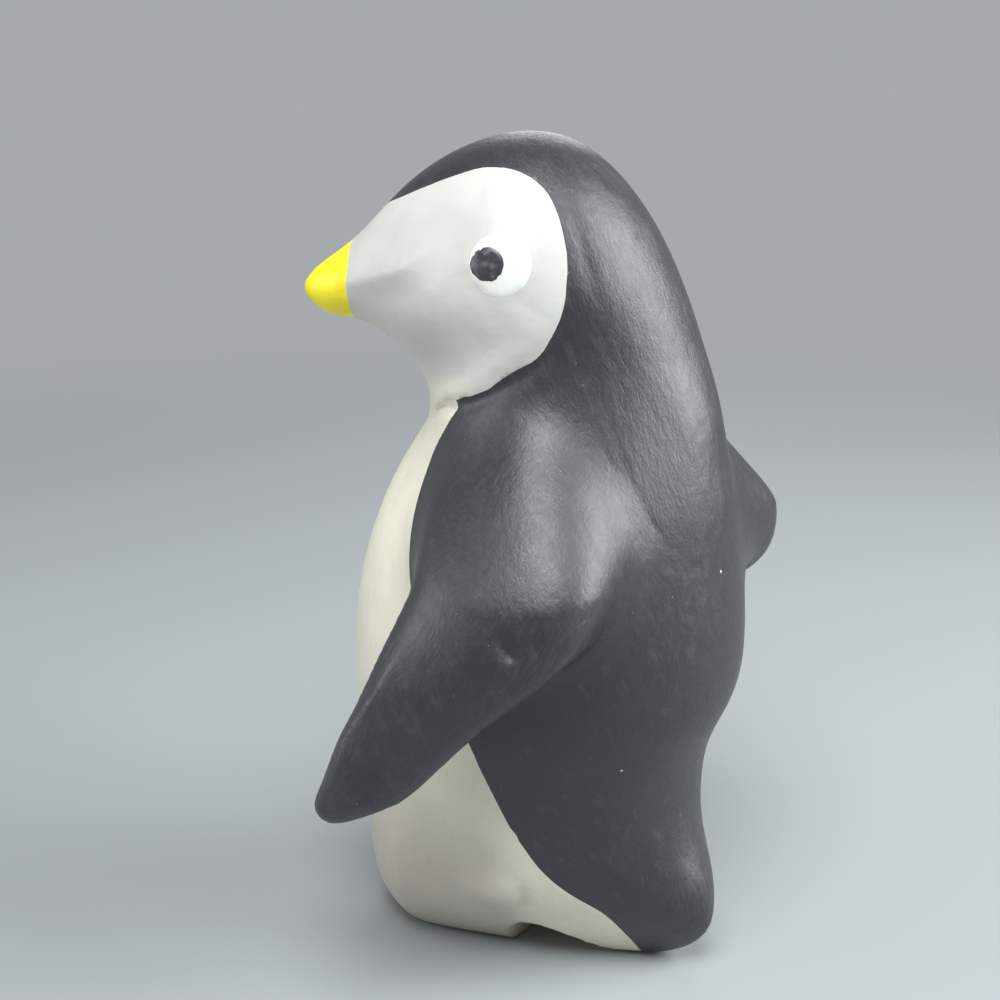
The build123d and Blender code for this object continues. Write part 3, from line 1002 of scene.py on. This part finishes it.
class PENGUIN_OT_eyes(bpy.types.Operator):
    """Lay the white of each eye on the face and the pupil upon it"""

    bl_idname = "penguin.eyes"
    bl_label = "Eyes"

    def execute(self, context):
        shape, paint = context.scene.penguin_shape, context.scene.penguin_paint
        white = eye_paint("white_acrylic_drop", paint.eye_white, "#DEDFD6", 2.0)
        dark = eye_paint("dark_grey_acrylic_drop", paint.pupil, "#55565A", 1.1)
        points, triangles, fields = skin(context).part(*COAT_EDGES["grey_coat"])
        forward = Vector((math.sin(shape.head_turn), -math.cos(shape.head_turn), 0))
        ahead, to_left = np.array(forward), np.array((-forward.y, forward.x, 0))
        flat = np.stack([points @ ahead, points[:, 2]], 1)
        for layer, prefix, slot, material in (
            (1, "eye_white_", "white_paint", white),
            (2, "pupil_", "pupil_paint", dark),
        ):
            for name, side in SIDES.items():
                solid = node_arrays([prefix + name])[0]
                solid = np.stack([solid @ ahead, solid[:, 2]], 1)
                low, high = solid.min(axis=0), solid.max(axis=0)
                ring = np.linalg.norm(flat - (high + low) / 2, axis=1) - (high[0] - low[0]) / 2
                other_side = -side * (points @ to_left)
                half = cut(points, triangles, dict(fields, ring=ring), other_side)
                part = cut(*half, half[2]["ring"])
                rounded = smooth_step(-part[2]["ring"], *DROP_EDGE)
                lift = rounded * shape.eye_coat * layer + LAYER_PROUD
                piece = coat_piece("painted_" + prefix + name, part, material, lift)
                dress(piece, slot, prefix + name)
        return {"FINISHED"}


class PENGUIN_OT_stage(bpy.types.Operator):
    """Set the floor, the lamps, the world and the camera"""

    bl_idname = "penguin.stage"
    bl_label = "Stage"

    def execute(self, context):
        stage = context.scene.penguin_stage
        self.floor(stage)
        self.world(context, stage)
        place, right, up, forward = camera_frame(stage)
        self.lamps(context, stage, right, forward)
        camera = bpy.data.objects.new("camera", bpy.data.cameras.new("camera"))
        camera.data.sensor_width = 36.0
        camera.data.lens = camera.data.sensor_width * stage.focal / PICTURE
        camera.data.clip_start = 0.01
        turn = Matrix((right, up, -forward)).transposed().to_4x4()
        camera.matrix_world = Matrix.Translation(place) @ turn
        context.scene.collection.objects.link(camera)
        context.scene.camera = camera
        context.scene.view_settings.view_transform = "Standard"
        return {"FINISHED"}

    def floor(self, stage):
        """A matt disc that fades into the backdrop where it is looked at."""
        corners = range(FLOOR_CORNERS)
        angles = [2 * math.pi * i / len(corners) for i in corners]
        radius = stage.floor_radius
        ring = [(radius * math.cos(a), radius * math.sin(a), 0) for a in angles]
        material, tree, shader, where = new_material("pale_matt_board")
        output = [n for n in tree.nodes if n.type == "OUTPUT_MATERIAL"][0]
        shader.inputs["Base Color"].default_value = linear(stage.board)
        shader.inputs["Roughness"].default_value = 0.8
        glow = add_node(tree, "ShaderNodeEmission", {"Color": linear(stage.backdrop), "Strength": 1.0})
        far = add_node(tree, "ShaderNodeVectorMath", {0: where}, operation="LENGTH").outputs["Value"]
        fade = add_node(
            tree, "ShaderNodeMapRange",
            {"Value": far, "From Min": FADE_STARTS, "From Max": FADE_ENDS, "To Max": background_rays(tree)},
            interpolation_type="SMOOTHSTEP",
        ).outputs[0]
        both = add_node(tree, "ShaderNodeMixShader", {0: fade, 1: shader.outputs[0], 2: glow.outputs[0]})
        tree.links.new(both.outputs[0], output.inputs["Surface"])
        floor = new_object("floor", np.array(ring), [list(corners)], material)

    def world(self, context, stage):
        """Even light from all round, and the backdrop's colour where it is looked at."""
        world = bpy.data.worlds.new("studio")
        world.use_nodes = True
        tree = world.node_tree
        tree.nodes.clear()
        light, look = (
            add_node(tree, "ShaderNodeBackground", {"Color": linear(code), "Strength": strength}).outputs[0]
            for code, strength in ((stage.daylight, stage.world_strength), (stage.backdrop, 1.0))
        )
        both = add_node(tree, "ShaderNodeMixShader", {0: background_rays(tree), 1: light, 2: look})
        output = add_node(tree, "ShaderNodeOutputWorld")
        tree.links.new(both.outputs[0], output.inputs["Surface"])
        context.scene.world = world

    def lamps(self, context, stage, right, forward):
        """Soft round lamps: one overhead, one from each side and a weak one from behind."""
        toward = -Vector((forward.x, forward.y, 0)).normalized()
        for name, (aside, ahead, above, size, power) in LAMPS.items():
            offset = right * aside + toward * ahead + Vector((0, 0, above))
            lamp = bpy.data.lights.new(name, "AREA")
            lamp.shape = "DISK"
            lamp.size = size
            lamp.energy = power
            lamp.color = LAMP_TINT
            holder = bpy.data.objects.new(name, lamp)
            holder.location = Vector((0, 0, stage.aim_height)) + offset
            holder.rotation_euler = (-offset).to_track_quat("-Z", "Y").to_euler()
            context.scene.collection.objects.link(holder)


class PENGUIN_PT_panel(bpy.types.Panel):
    """The penguin's pieces, in the order in which they are made"""

    bl_label = "Penguin"
    bl_idname = "PENGUIN_PT_panel"
    bl_space_type = "VIEW_3D"
    bl_region_type = "UI"
    bl_category = "Penguin"

    def draw(self, context):
        for group in ("penguin_shape", "penguin_paint", "penguin_stage"):
            settings = getattr(context.scene, group)
            column = self.layout.box().column()
            for name in settings.__annotations__:
                column.prop(settings, name)
        for operator in OPERATORS:
            self.layout.operator(operator.bl_idname)


GROUPS = {"penguin_shape": PenguinShape, "penguin_paint": PenguinPaint, "penguin_stage": PenguinStage}
OPERATORS = (
    PENGUIN_OT_stage,
    PENGUIN_OT_wood,
    PENGUIN_OT_charcoal,
    PENGUIN_OT_belly,
    PENGUIN_OT_face,
    PENGUIN_OT_beak,
    PENGUIN_OT_eyes,
)


def register():
    for part in (*GROUPS.values(), *OPERATORS, PENGUIN_PT_panel):
        bpy.utils.register_class(part)
    for name, group in GROUPS.items():
        setattr(bpy.types.Scene, name, PointerProperty(type=group))


def unregister():
    for name in GROUPS:
        delattr(bpy.types.Scene, name)
    for part in (PENGUIN_PT_panel, *reversed(OPERATORS), *reversed(GROUPS.values())):
        bpy.utils.unregister_class(part)


def main():
    register()
    bpy.ops.penguin.stage()
    bpy.ops.penguin.wood()
    bpy.ops.penguin.charcoal()
    bpy.ops.penguin.belly()
    bpy.ops.penguin.face()
    bpy.ops.penguin.beak()
    bpy.ops.penguin.eyes()


if __name__ == "__main__":
    main()
